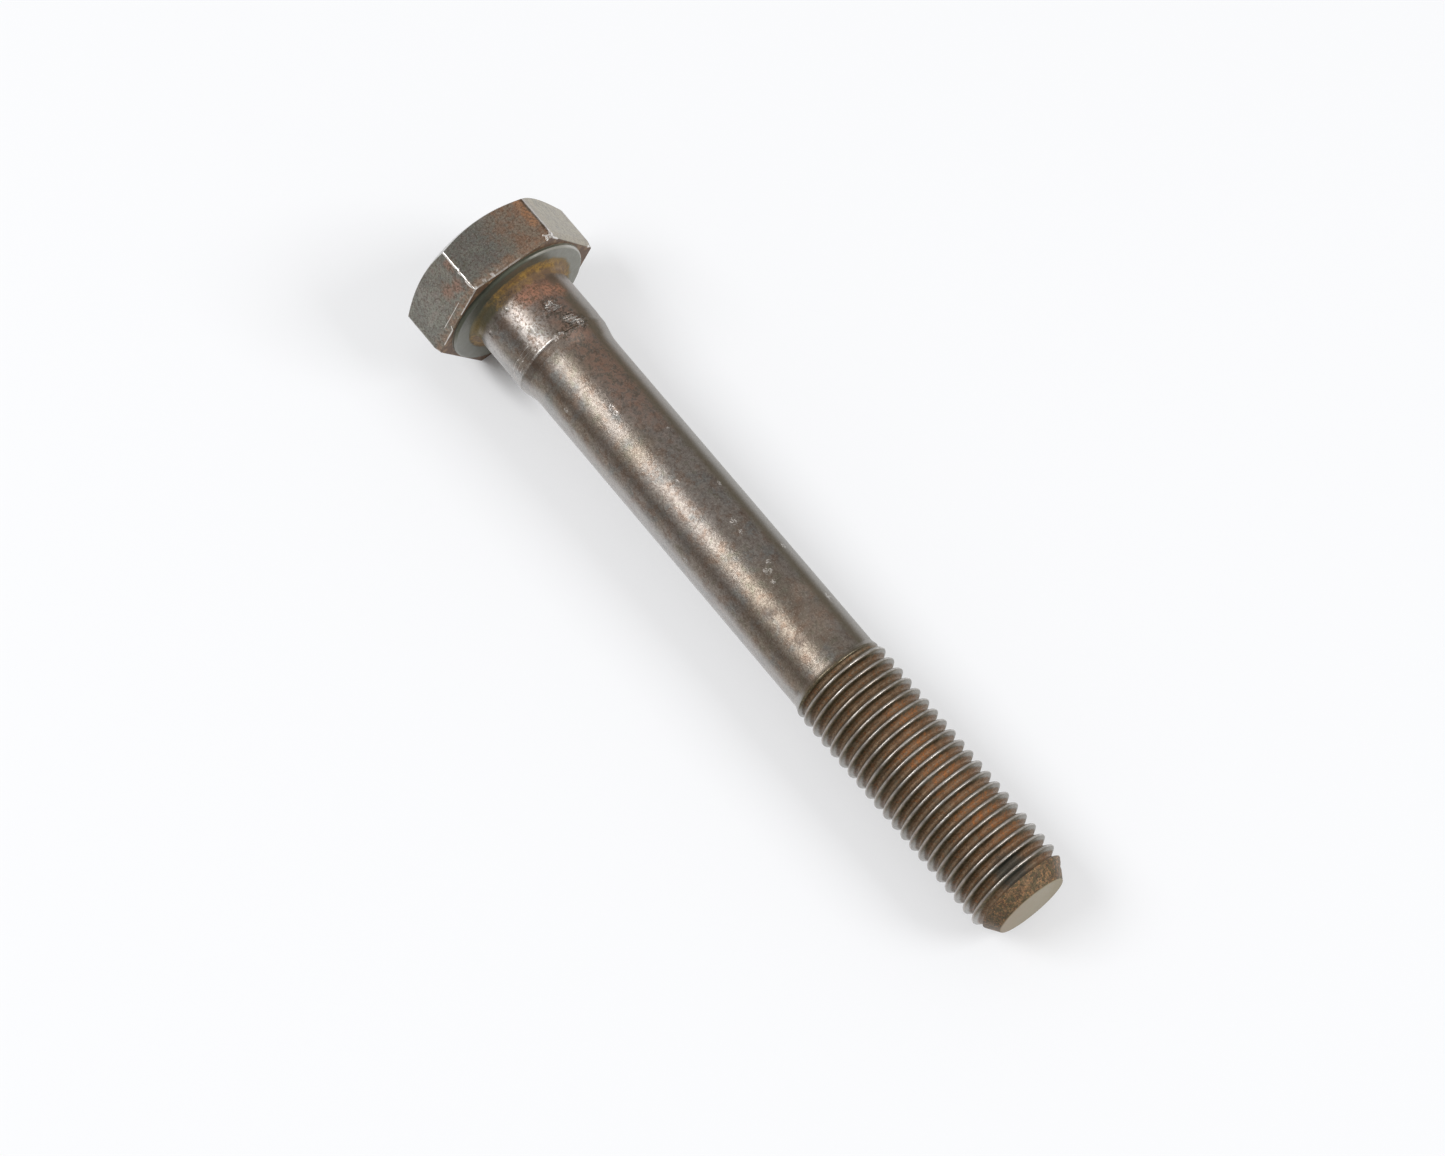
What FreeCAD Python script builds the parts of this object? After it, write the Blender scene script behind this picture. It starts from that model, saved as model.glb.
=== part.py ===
import FreeCAD, Part
import math
import os
import Sketcher

# Trailing arm bolt, M12 x 1.5 x 90: one cold-headed steel piece with a rolled thread.
# It is drawn upright, with the top of its head on the origin and its axis along Z, and is
# then laid down on a flat of its head and the end of its thread, with its axis along +X.
# Millimetres and degrees.

NODE = "trailing_arm_bolt"

SIZES = [
    ("across_flats", 18.8, "hexagon from flat to flat, a used 19"),
    ("head_height", 7.3, "top of the head to the bearing face"),
    ("crown_diameter", 18.2, "flat top inside the crown chamfer"),
    ("crown_angle", 30.0, "crown chamfer, from the plane of the top"),
    ("skirt_height", 0.9, "narrow band at the foot of the hexagon"),
    ("skirt_angle", 12.0, "inward lean of that band"),
    ("washer_face_diameter", 17.9, "round bearing face"),
    ("washer_face_height", 0.5, "how far it stands off the hexagon"),
    ("washer_face_chamfer", 0.2, "rim of the bearing face, at 45 degrees"),
    ("neck_diameter", 12.0, "locating collar under the head"),
    ("neck_length", 8.3, "bearing face to the end of the collar"),
    ("neck_fillet", 0.9, "bearing face into the collar"),
    ("taper_length", 2.1, "collar down to the shank"),
    ("taper_round", 1.2, "both ends of the taper"),
    ("shank_diameter", 10.95, "reduced shank, the blank that the thread is rolled on"),
    ("under_head_length", 90.0, "bearing face to the tip"),
    ("thread_length", 33.6, "foot of the thread's rise to the tip"),
    ("runout_length", 1.6, "rise from the shank to the full thread"),
    ("thread_diameter", 11.86, "over the crests"),
    ("pitch", 1.5, "right-handed, one start"),
    ("flank_angle", 60.0, "between the flanks"),
    ("crest_width", 0.26, "flat on top of the thread"),
    ("root_width", 0.26, "flat at the bottom of the groove"),
    ("start_angle", 191.0, "where round the axis the full groove starts"),
    ("tip_diameter", 8.6, "flat end face"),
    ("tip_angle", 33.0, "tip chamfer, from the axis"),
    ("cutter_margin", 0.1, "reach of a cutting profile past the metal"),
]

# Lengths that follow from the sizes, as expressions for the sketches and features.
CORNER_RADIUS = "Sizes.across_flats / sqrt(3)"
HEX_LENGTH = "Sizes.head_height - Sizes.washer_face_height - Sizes.skirt_height"
TIP = "Sizes.head_height + Sizes.under_head_length"
TIP_CHAMFER = "(Sizes.thread_diameter - Sizes.tip_diameter) / 2 / tan(Sizes.tip_angle * 1deg)"
THREAD_FOOT = TIP + " - Sizes.thread_length"
THREAD_FULL = THREAD_FOOT + " + Sizes.runout_length"
FLANK_SLOPE = "tan(Sizes.flank_angle * 0.5deg)"
GROOVE_DEPTH = "(Sizes.pitch - Sizes.crest_width - Sizes.root_width) / 2 / " + FLANK_SLOPE
CUT_DEPTH = "(" + GROOVE_DEPTH + " + Sizes.cutter_margin)"
CUT_HALF_WIDTH = "(Sizes.root_width / 2 + " + CUT_DEPTH + " * " + FLANK_SLOPE + ")"

# A sketch's own axes and its origin, as constraints name them.
ACROSS_AXIS = -1
ALONG_AXIS = -2
ORIGIN = (-1, 1)
START, END, CENTRE = 1, 2, 3


def make_sheet(doc):
    sheet = doc.addObject("Spreadsheet::Sheet", "Sizes")
    for row, (alias, value, note) in enumerate(SIZES, start=1):
        sheet.set("A%d" % row, alias)
        sheet.set("B%d" % row, str(value))
        sheet.set("C%d" % row, note)
        sheet.setAlias("B%d" % row, alias)
    doc.recompute()
    return sheet


def new_sketch(body, name, role):
    sketch = body.newObject("Sketcher::SketchObject", name)
    plane = [feature for feature in body.Origin.OriginFeatures if feature.Role == role][0]
    sketch.AttachmentSupport = (plane, [""])
    sketch.MapMode = "FlatFace"
    return sketch


def add_loop(sketch, points):
    """Closed loop of straight lines, numbered from 0, joined end to end."""
    count = len(points)
    for i in range(count):
        start = FreeCAD.Vector(*points[i])
        end = FreeCAD.Vector(*points[(i + 1) % count])
        sketch.addGeometry(Part.LineSegment(start, end), False)
    for i in range(count):
        sketch.addConstraint(Sketcher.Constraint("Coincident", i, END, (i + 1) % count, START))


def set_size(sketch, expression, *constraint):
    index = sketch.addConstraint(Sketcher.Constraint(*constraint))
    sketch.setExpression("Constraints[%d]" % index, expression)


def draw_outline(sketch, corners):
    """Closed outline in a plane through the axis. Each corner is a rough place, then its
    distance from the axis and its height as expressions, or None where it lies on the line."""
    add_loop(sketch, [rough for rough, across, along in corners])
    for i, (rough, across, along) in enumerate(corners):
        if across is None:
            sketch.addConstraint(Sketcher.Constraint("PointOnObject", i, START, ALONG_AXIS))
        else:
            set_size(sketch, across, "DistanceX", *ORIGIN, i, START, rough[0])
        if along is None:
            sketch.addConstraint(Sketcher.Constraint("PointOnObject", i, START, ACROSS_AXIS))
        else:
            set_size(sketch, along, "DistanceY", *ORIGIN, i, START, rough[1])


def hexagon_sketch(body, name, level):
    """Hexagon at a height, with two flats along X and its corners on a construction circle."""
    sketch = new_sketch(body, name, "XY_Plane")
    rough = 10.0
    turns = [math.radians(60 * i) for i in range(6)]
    add_loop(sketch, [(rough * math.cos(turn), rough * math.sin(turn)) for turn in turns])
    outer = Part.Circle(FreeCAD.Vector(0, 0, 0), FreeCAD.Vector(0, 0, 1), rough)
    circle = sketch.addGeometry(outer, True)
    sketch.addConstraint(Sketcher.Constraint("Coincident", circle, CENTRE, *ORIGIN))
    for i in range(6):
        sketch.addConstraint(Sketcher.Constraint("PointOnObject", i, START, circle))
    for i in range(1, 6):
        sketch.addConstraint(Sketcher.Constraint("Equal", 0, i))
    sketch.addConstraint(Sketcher.Constraint("PointOnObject", 0, START, ACROSS_AXIS))
    set_size(sketch, CORNER_RADIUS, "Radius", circle, rough)
    sketch.setExpression("AttachmentOffset.Base.z", level)
    return sketch


def add_head(body):
    """Hexagon, the narrow leaning skirt at its foot and the chamfer round its crown."""
    hexagon = body.newObject("PartDesign::Pad", "Hexagon")
    hexagon.Profile = hexagon_sketch(body, "HexagonSketch", "0")
    hexagon.setExpression("Length", HEX_LENGTH)
    skirt = body.newObject("PartDesign::Pad", "Skirt")
    skirt.Profile = hexagon_sketch(body, "SkirtSketch", HEX_LENGTH)
    skirt.setExpression("Length", "Sizes.skirt_height")
    skirt.setExpression("TaperAngle", "-Sizes.skirt_angle")
    body.Document.recompute()
    reach = CORNER_RADIUS + " + Sizes.cutter_margin"
    rise = "(" + reach + " - Sizes.crown_diameter / 2) * tan(Sizes.crown_angle * 1deg)"
    profile = new_sketch(body, "CrownSketch", "XZ_Plane")
    draw_outline(profile, [
        ((9.0, 0.0), "Sizes.crown_diameter / 2", None),
        ((12.0, 0.0), reach, None),
        ((12.0, 2.0), reach, rise),
    ])
    chamfer = body.newObject("PartDesign::Groove", "CrownChamfer")
    chamfer.Profile = profile
    chamfer.ReferenceAxis = (profile, ["V_Axis"])
    chamfer.Angle = 360.0
    body.Document.recompute()


def add_shank(body):
    """All that is turned about the axis, from the washer face to the tip, before threading."""
    rim = "Sizes.washer_face_diameter / 2"
    face = "Sizes.head_height"
    neck_end = face + " + Sizes.neck_length"
    profile = new_sketch(body, "ShankSketch", "XZ_Plane")
    draw_outline(profile, [
        ((0.0, 7.0), None, face + " - Sizes.washer_face_height"),
        ((9.0, 7.0), rim, face + " - Sizes.washer_face_height"),
        ((9.0, 7.8), rim, face + " - Sizes.washer_face_chamfer"),
        ((8.8, 8.0), rim + " - Sizes.washer_face_chamfer", face),
        ((6.0, 8.0), "Sizes.neck_diameter / 2", face),
        ((6.0, 16.0), "Sizes.neck_diameter / 2", neck_end),
        ((5.5, 18.0), "Sizes.shank_diameter / 2", neck_end + " + Sizes.taper_length"),
        ((5.5, 64.0), "Sizes.shank_diameter / 2", THREAD_FOOT),
        ((6.0, 66.0), "Sizes.thread_diameter / 2", THREAD_FULL),
        ((6.0, 95.0), "Sizes.thread_diameter / 2", TIP + " - " + TIP_CHAMFER),
        ((4.0, 97.0), "Sizes.tip_diameter / 2", TIP),
        ((0.0, 97.0), None, TIP),
    ])
    shank = body.newObject("PartDesign::Revolution", "Shank")
    shank.Profile = profile
    shank.ReferenceAxis = (profile, ["V_Axis"])
    shank.Angle = 360.0
    body.Document.recompute()


def ring_edges(shape, places):
    """Names of the full circles about the axis at each (radius, height)."""
    close = 1e-4
    names = []
    for number, edge in enumerate(shape.Edges, start=1):
        if not isinstance(edge.Curve, Part.Circle) or not edge.isClosed():
            continue
        for radius, height in places:
            if abs(edge.Curve.Radius - radius) < close and abs(edge.Curve.Center.z - height) < close:
                names.append("Edge%d" % number)
    return names


def add_round(body, name, size, places):
    base = body.Tip
    edges = ring_edges(base.Shape, places)
    if len(edges) != len(places):
        raise RuntimeError("%s: %d of %d edges found" % (name, len(edges), len(places)))
    fillet = body.newObject("PartDesign::Fillet", name)
    fillet.Base = (base, edges)
    fillet.setExpression("Radius", "Sizes." + size)
    body.Document.recompute()


def add_rounds(body, sheet):
    """Rounds where the collar meets the bearing face and at both ends of the taper."""
    neck_radius = sheet.neck_diameter / 2
    neck_end = sheet.head_height + sheet.neck_length
    taper_end = (sheet.shank_diameter / 2, neck_end + sheet.taper_length)
    add_round(body, "NeckFillet", "neck_fillet", [(neck_radius, sheet.head_height)])
    add_round(body, "TaperRounds", "taper_round", [(neck_radius, neck_end), taper_end])


def groove_sketch(body):
    """Section of the thread's groove where its full depth starts, turned to the start angle."""
    outer = "Sizes.thread_diameter / 2 + Sizes.cutter_margin"
    inner = "Sizes.thread_diameter / 2 - " + GROOVE_DEPTH
    sketch = new_sketch(body, "GrooveSketch", "XZ_Plane")
    about_axis = FreeCAD.Rotation(FreeCAD.Vector(0, 1, 0), 180)
    sketch.AttachmentOffset = FreeCAD.Placement(FreeCAD.Vector(0, 0, 0), about_axis)
    sketch.setExpression("AttachmentOffset.Rotation.Angle", "Sizes.start_angle * 1deg")
    draw_outline(sketch, [
        ((5.1, 65.2), inner, THREAD_FULL + " - Sizes.root_width / 2"),
        ((6.0, 64.6), outer, THREAD_FULL + " - " + CUT_HALF_WIDTH),
        ((6.0, 66.0), outer, THREAD_FULL + " + " + CUT_HALF_WIDTH),
        ((5.1, 65.4), inner, THREAD_FULL + " + Sizes.root_width / 2"),
    ])
    return sketch


def add_helix_cut(body, name, profile, height):
    cut = body.newObject("PartDesign::SubtractiveHelix", name)
    cut.Profile = profile
    cut.ReferenceAxis = (profile, ["V_Axis"])
    cut.Mode = 0  # set by pitch and height
    cut.setExpression("Pitch", "Sizes.pitch")
    cut.setExpression("Height", height)
    return cut


def add_thread(body):
    """The groove at full depth out past the tip, then one turn that climbs out to the shank."""
    profile = groove_sketch(body)
    add_helix_cut(body, "ThreadGroove", profile,
                  "Sizes.thread_length - Sizes.runout_length + Sizes.pitch")
    body.Document.recompute()
    runout = add_helix_cut(body, "ThreadRunout", profile, "Sizes.pitch")
    runout.Reversed = True
    runout.setExpression("Angle", "atan(" + CUT_DEPTH + " / Sizes.pitch)")
    body.Document.recompute()


def lay_down(body, sheet):
    """Turns the axis to +X and dips the tip, so that head and thread both touch the ground."""
    head_reach = sheet.across_flats / 2
    crest_reach = sheet.thread_diameter / 2
    tip_reach = sheet.tip_diameter / 2
    head_foot = sheet.head_height - sheet.washer_face_height - sheet.skirt_height
    tip = sheet.head_height + sheet.under_head_length
    last_crest = tip - (crest_reach - tip_reach) / math.tan(math.radians(sheet.tip_angle))
    dip = math.atan((head_reach - crest_reach) / (last_crest - head_foot))
    top_end = -sheet.crown_diameter / 2 * math.sin(dip)
    tip_end = tip * math.cos(dip) + tip_reach * math.sin(dip)
    height = head_reach * math.cos(dip) + head_foot * math.sin(dip)
    axis_to_x = FreeCAD.Rotation(FreeCAD.Vector(1, 1, 1), 120)
    dipped = FreeCAD.Rotation(FreeCAD.Vector(0, 1, 0), math.degrees(dip))
    place = FreeCAD.Vector(-(top_end + tip_end) / 2, 0, height)
    body.Placement = FreeCAD.Placement(place, dipped.multiply(axis_to_x))


def check(doc, body):
    for thing in doc.Objects:
        if "Invalid" in thing.State or "Error" in thing.State:
            raise RuntimeError(thing.Name + " failed: " + str(thing.State))
    shape = body.Shape
    if shape.isNull() or not shape.isValid() or len(shape.Solids) != 1:
        raise RuntimeError(body.Label + " is not one valid solid")


def main():
    doc = FreeCAD.newDocument("TrailingArmBolt")
    sheet = make_sheet(doc)
    bolt = doc.addObject("PartDesign::Body", "Bolt")
    bolt.Label = NODE
    add_head(bolt)
    add_shank(bolt)
    add_rounds(bolt, sheet)
    add_thread(bolt)
    lay_down(bolt, sheet)
    doc.recompute()
    check(doc, bolt)
    os.makedirs("parts", exist_ok=True)
    bolt.Shape.exportStep("parts/" + bolt.Label + ".step")
    box = bolt.Shape.optimalBoundingBox(True, False)
    print("%s: %.2f x %.2f x %.2f mm" % (bolt.Label, box.XLength, box.YLength, box.ZLength))


main()
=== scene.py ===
import math

import bpy
import numpy as np
from mathutils import Matrix, Vector


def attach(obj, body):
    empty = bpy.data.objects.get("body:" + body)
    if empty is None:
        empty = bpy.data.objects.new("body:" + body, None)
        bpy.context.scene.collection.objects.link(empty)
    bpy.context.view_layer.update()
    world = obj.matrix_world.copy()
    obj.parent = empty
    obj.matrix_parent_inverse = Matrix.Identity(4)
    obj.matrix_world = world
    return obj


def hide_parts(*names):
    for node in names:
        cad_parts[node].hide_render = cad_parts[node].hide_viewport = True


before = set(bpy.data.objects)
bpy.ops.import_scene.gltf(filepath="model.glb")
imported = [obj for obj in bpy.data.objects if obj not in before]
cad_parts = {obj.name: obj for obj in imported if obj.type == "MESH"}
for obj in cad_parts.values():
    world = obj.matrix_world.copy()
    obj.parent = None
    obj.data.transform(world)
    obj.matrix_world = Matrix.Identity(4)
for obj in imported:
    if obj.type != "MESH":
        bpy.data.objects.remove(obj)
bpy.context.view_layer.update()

millimetre = 0.001


# A node socket that takes part in Python sums: each sum adds the Math node for it.
class Wire:
    def __init__(self, graph, socket):
        self.graph = graph
        self.socket = socket

    def maths(self, operation, *values):
        return self.graph.add("ShaderNodeMath", {"operation": operation}, list(values))

    def __add__(self, other):
        return self.maths("ADD", self, other)

    def __radd__(self, other):
        return self.maths("ADD", other, self)

    def __sub__(self, other):
        return self.maths("SUBTRACT", self, other)

    def __rsub__(self, other):
        return self.maths("SUBTRACT", other, self)

    def __mul__(self, other):
        return self.maths("MULTIPLY", self, other)

    def __rmul__(self, other):
        return self.maths("MULTIPLY", other, self)

    def __truediv__(self, other):
        return self.maths("DIVIDE", self, other)


def setStops(ramp, stops):
    while len(ramp.elements) < len(stops):
        ramp.elements.new(1.0)
    for element, (place, shade) in zip(ramp.elements, stops):
        element.position = place
        element.color = shade


# A node tree that is filled one node at a time. Settings come first, then socket values or links.
class Graph:
    def __init__(self, tree):
        self.tree = tree

    def add(self, kind, settings=None, sockets=(), output=0):
        node = self.tree.nodes.new(kind)
        for name, value in (settings or {}).items():
            if name == "stops":
                setStops(node.color_ramp, value)
            else:
                setattr(node, name, value)
        pairs = sockets.items() if isinstance(sockets, dict) else enumerate(sockets)
        for key, value in pairs:
            if isinstance(value, Wire):
                self.tree.links.new(value.socket, node.inputs[key])
            else:
                node.inputs[key].default_value = value
        return Wire(self, node.outputs[output]) if node.outputs else node

    def clip(self, value):  # held between 0 and 1
        return self.add("ShaderNodeClamp", {}, [value, 0.0, 1.0])

    def step(self, value, low, high):  # smooth step from 0 at low to 1 at high
        return self.add("ShaderNodeMapRange", {"interpolation_type": "SMOOTHSTEP"},
                        {"Value": value, "From Min": low, "From Max": high})

    def between(self, value, start, end, soft):  # 1 from start to end, with soft ends
        rising = self.step(value, start - soft, start + soft)
        return rising * self.step(value, end + soft, end - soft)

    def blend(self, share, first, second):  # two colours by a share
        return self.add("ShaderNodeMix", {"data_type": "RGBA", "clamp_factor": True},
                        {0: share, 6: first, 7: second}, 2)

    def noise(self, place, scale, detail=3.0, rough=0.55, seed=0.0, warp=0.0):
        return self.add("ShaderNodeTexNoise", {"noise_dimensions": "4D"},
                        {"Vector": place, "W": seed, "Scale": scale, "Detail": detail,
                         "Roughness": rough, "Distortion": warp})


def colour(red, green, blue):  # screen values from 0 to 255, as the shader's own linear ones
    shares = [value / 255 for value in (red, green, blue)]
    linear = [((v + 0.055) / 1.055) ** 2.4 if v > 0.04045 else v / 12.92 for v in shares]
    return (*linear, 1.0)


# Camera and room

cameraView = {
    "lookAt": (-3.76, -0.54, 0.0),   # mm, on the floor
    "azimuth": -37.12,               # degrees, of the camera seen from there
    "elevation": 66.1,
    "roll": -1.26,
    "distance": 474.2,               # mm
    "lens": 105.96,                  # mm
    "sensorWidth": 36.0,             # mm
    "clipStart": 0.01,               # metres
}

room = {
    "skyTop": 0.56,                  # strength of the sky overhead
    "skyFoot": 0.22,                 # and at the horizon
    "skyRise": 0.45,                 # height, as a sine, from which it has its full strength
    "skyColour": (0.985, 0.99, 1.0, 1.0),
    "floorColour": (0.795, 0.79, 0.785, 1.0),
    "floorWhite": (0.985, 0.985, 0.995, 1.0),
    "floorGlow": 0.42,               # share of plain white that is seen in the floor
    "hollow": (-40.2, -4.3, 0.0),    # mm, the place under the neck that little light reaches
    "hollowReach": (1.5, 9.0),       # mm along the bolt from there to the open floor
    "hollowSideways": 4.0,           # how much faster it opens sideways
    "floorReach": 3.0,               # metres
    "lampColour": (0.975, 1.0, 1.035),
    "lamps": [
        # name, direction to the lamp, distance in metres, length beside the bolt, width, watts
        ("leftSoftbox", (-0.37, -0.485, 0.79), 0.90, 0.50, 0.36, 4.2),
        ("backSoftbox", (0.55, 0.50, 0.67), 1.00, 0.40, 0.40, 4.7),
    ],
}


def addCamera(view):
    azimuth, elevation, roll = (math.radians(view[k]) for k in ("azimuth", "elevation", "roll"))
    back = Vector((math.cos(azimuth) * math.cos(elevation),
                   math.sin(azimuth) * math.cos(elevation), math.sin(elevation)))
    level = Vector((0, 0, 1)).cross(back).normalized()
    upright = back.cross(level)
    right = level * math.cos(roll) + upright * math.sin(roll)
    up = back.cross(right)
    turn = Matrix((right, up, back)).transposed().to_4x4()
    place = (Vector(view["lookAt"]) + back * view["distance"]) * millimetre
    data = bpy.data.cameras.new("photoCamera")
    data.lens = view["lens"]
    data.sensor_width = view["sensorWidth"]
    data.sensor_fit = "HORIZONTAL"
    data.clip_start = view["clipStart"]
    camera = bpy.data.objects.new("photoCamera", data)
    camera.matrix_world = Matrix.Translation(place) @ turn
    bpy.context.scene.collection.objects.link(camera)
    bpy.context.scene.camera = camera


def addRoom(room):
    world = bpy.data.worlds.new("studio")
    bpy.context.scene.world = world
    world.use_nodes = True
    graph = Graph(world.node_tree)
    skyPlace = graph.add("ShaderNodeTexCoord", {}, (), "Generated")
    up = graph.add("ShaderNodeSeparateXYZ", {}, [skyPlace], "Z")
    share = graph.step(up, 0.0, room["skyRise"])
    level = room["skyFoot"] + share * (room["skyTop"] - room["skyFoot"])
    sky = world.node_tree.nodes["Background"]
    sky.inputs["Color"].default_value = room["skyColour"]
    world.node_tree.links.new(level.socket, sky.inputs["Strength"])
    for name, direction, distance, length, width, watts in room["lamps"]:
        data = bpy.data.lights.new(name, "AREA")
        data.shape = "RECTANGLE"
        data.size = length
        data.size_y = width
        data.energy = watts
        data.color = room["lampColour"]
        lamp = bpy.data.objects.new(name, data)
        way = Vector(direction).normalized()
        across = way.cross(Vector((1, 0, 0))).normalized()
        beside = across.cross(way)
        turn = Matrix((beside, across, way)).transposed().to_4x4()
        lamp.matrix_world = Matrix.Translation(way * distance) @ turn
        bpy.context.scene.collection.objects.link(lamp)
    reach = room["floorReach"]
    mesh = bpy.data.meshes.new("floor")
    corners = [(-reach, -reach, 0), (reach, -reach, 0), (reach, reach, 0), (-reach, reach, 0)]
    mesh.from_pydata(corners, [], [(0, 1, 2, 3)])
    floor = bpy.data.objects.new("floor", mesh)
    bpy.context.scene.collection.objects.link(floor)
    paper = bpy.data.materials.new("whitePaper")
    paper.use_nodes = True
    graph = Graph(paper.node_tree)
    paper.node_tree.nodes.remove(paper.node_tree.nodes["Principled BSDF"])
    lit = graph.add("ShaderNodeBsdfDiffuse", {}, {"Color": room["floorColour"]})
    plain = graph.add("ShaderNodeEmission", {}, {"Color": room["floorWhite"], "Strength": 1.0})
    rays = [graph.add("ShaderNodeLightPath", {}, (), name) for name in
            ("Is Camera Ray", "Is Glossy Ray", "Is Transmission Ray")]
    spot = graph.add("ShaderNodeTexCoord", {}, (), "Object")
    squeeze = Vector((1.0, room["hollowSideways"], 1.0))
    spot = graph.add("ShaderNodeVectorMath", {"operation": "MULTIPLY"},
                     [spot, squeeze / millimetre])
    fromHollow = graph.add("ShaderNodeVectorMath", {"operation": "DISTANCE"},
                           [spot, Vector(room["hollow"]) * squeeze], "Value")
    openness = graph.step(fromHollow, *room["hollowReach"])
    seen = graph.clip(rays[0] + rays[1] + rays[2]) * openness * room["floorGlow"]
    surface = graph.add("ShaderNodeMixShader", {}, [seen, lit, plain])
    output = paper.node_tree.nodes["Material Output"]
    paper.node_tree.links.new(surface.socket, output.inputs["Surface"])
    mesh.materials.append(paper)


addCamera(cameraView)
addRoom(room)
print("camera, lamps and floor are in place")


# The bolt, in millimetres. It is made along +X from its bearing face, then laid down.

bolt = {
    "acrossFlats": 18.8,
    "headHeight": 7.3,
    "crownRadius": 9.1,
    "crownAngle": 30.0,
    "skirtHeight": 0.9,
    "skirtAngle": 12.0,
    "cornerRound": 0.24,
    "washerRadius": 8.95,
    "washerHeight": 0.5,
    # along, and how far inside the edge of the washer face, for the rings of its chamfer and face
    "washerRings": [(-0.47, 0.0), (-0.35, 0.0), (-0.23, 0.0), (-0.19, 0.01), (-0.1, 0.1),
                    (-0.01, 0.19), (0.0, 0.22), (0.0, 0.4), (0.0, 0.8), (0.0, 1.2), (0.0, 1.6),
                    (0.0, 1.9)],
    "neckRadius": 6.0,
    "neckLength": 8.3,
    "neckFillet": 0.9,
    "taperLength": 2.1,
    "taperPlaces": [-0.07, 0.0, 0.07, 0.2, 0.75, 0.9, 1.1, 1.3],     # shares of its length
    "taperDrops": [0.0, 0.015, 0.06, 0.19, 0.78, 0.91, 0.985, 1.0],  # shares of its drop there
    "shankRadius": 5.475,
    "length": 90.0,
    "riseFrom": 56.4,                # where the shank starts to widen to the crests
    "fullThreadFrom": 58.0,
    "crestRadius": 5.93,
    "rootRadius": 5.081,
    "pitch": 1.5,
    "grooveStart": 58.71,            # centre of a groove at turn 0
    "rootHalf": 0.13,                # half of the flat at the root
    "flankAngle": 60.0,
    "crestRound": 0.34,
    "rootRound": 0.16,
    "runoutClimb": 0.63,             # how steeply the groove climbs out at the shank
    "tipRadius": 4.3,
    "tipAngle": 33.0,
    "columns": 144,
    "cornerCrowding": 0.85,          # how much the head's columns gather at its corners
    "gridStart": 55.71,              # where the rows start to follow the thread
    "gridTurns": 22,
    # from, to and step of the rows between the fillet and there
    "rowSpans": [(1.1, 7.9, 0.2), (7.9, 9.0, 0.06), (9.05, 10.8, 0.2)],
    "shankRows": (10.9, 0.5),        # from, and step
    "rowsInPitch": [0.0, 0.10, 0.17, 0.26, 0.44, 0.54, 0.62, 0.69, 0.75,
                    0.81, 0.88, 0.96, 1.06, 1.24, 1.33, 1.40],
}


def blankRadius(along, s):  # the turned blank, from the collar to the tip
    neckEnd = s["neckLength"]
    taperEnd = neckEnd + s["taperLength"]
    tipSlope = math.tan(math.radians(s["tipAngle"]))
    taper = np.interp((along - neckEnd) / (taperEnd - neckEnd), s["taperPlaces"], s["taperDrops"])
    rise = np.clip((along - s["riseFrom"]) / (s["fullThreadFrom"] - s["riseFrom"]), 0, 1)
    rise = rise * rise * (3 - 2 * rise)
    radius = s["neckRadius"] + (s["shankRadius"] - s["neckRadius"]) * taper
    radius = radius + (s["crestRadius"] - s["shankRadius"]) * rise
    fillet = np.clip(1 - along / s["neckFillet"], 0, 1)
    radius = radius + s["neckFillet"] * (1 - np.sqrt(1 - fillet ** 2))
    return np.minimum(radius, s["tipRadius"] + (s["length"] - along) * tipSlope)


def hexRadius(s, along, angle):  # distance of the bolt's skin from its axis at a turn in degrees
    if along > 0:
        return s["neckRadius"]
    skirtSlope = math.tan(math.radians(s["skirtAngle"]))
    cut = max(along + s["washerHeight"] + s["skirtHeight"], 0) * skirtSlope
    fromFlat = (angle - 30) % 60    # the flats face 30, 90, 150 degrees and so on
    if fromFlat > 30:
        fromFlat -= 60
    return (s["acrossFlats"] / 2 - cut) / math.cos(math.radians(fromFlat))


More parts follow.
